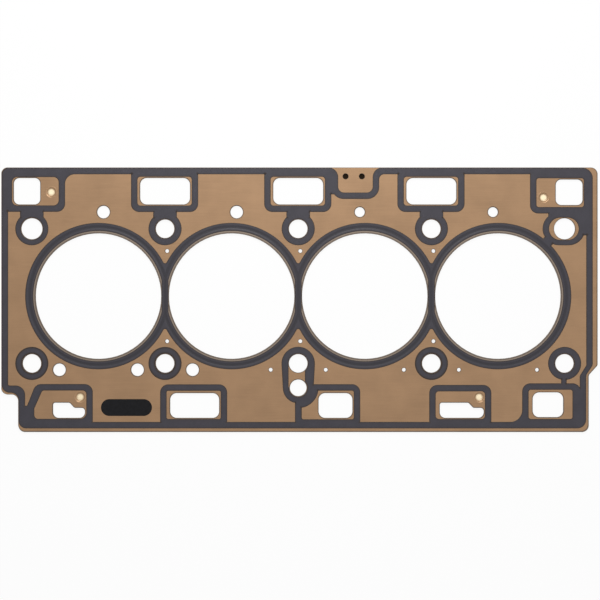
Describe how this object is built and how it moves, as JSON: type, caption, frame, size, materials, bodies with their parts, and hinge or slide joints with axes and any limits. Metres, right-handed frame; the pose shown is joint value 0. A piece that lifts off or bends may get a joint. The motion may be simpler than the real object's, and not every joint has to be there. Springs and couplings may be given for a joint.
{
  "type": "cylinder head gasket",
  "caption": "Flat multi-layer steel cylinder head gasket for an in-line engine, brown sheet with dark printed sealing lines, cylinder bores, bolt holes and coolant ports",
  "frame": {"origin": "middle of the head-bolt pattern, on the block-side face of the lower sheet", "axes": "+X runs along the row of cylinders, +Y towards the side with the thickness tab, +Z from the block to the cylinder head"},
  "size_m": [0.403, 0.1788, 0.0021],
  "materials": {
    "bead_sheet": "satin",
    "carrier_sheet": "satin",
    "seal_print": "matte",
    "marking_patch": "matte"
  },
  "bodies": {
    "root": {"carrier_layer": "carrier_sheet", "lower_bead_layer": "bead_sheet", "lower_bolt_ring_1": "seal_print", "lower_bolt_ring_2": "seal_print", "lower_bolt_ring_3": "seal_print", "lower_seal_coating": "seal_print", "marking_patch": "marking_patch", "upper_bead_layer": "bead_sheet", "upper_bolt_ring_1": "seal_print", "upper_bolt_ring_2": "seal_print", "upper_bolt_ring_3": "seal_print", "upper_seal_coating": "seal_print"}
  },
  "joints": []
}
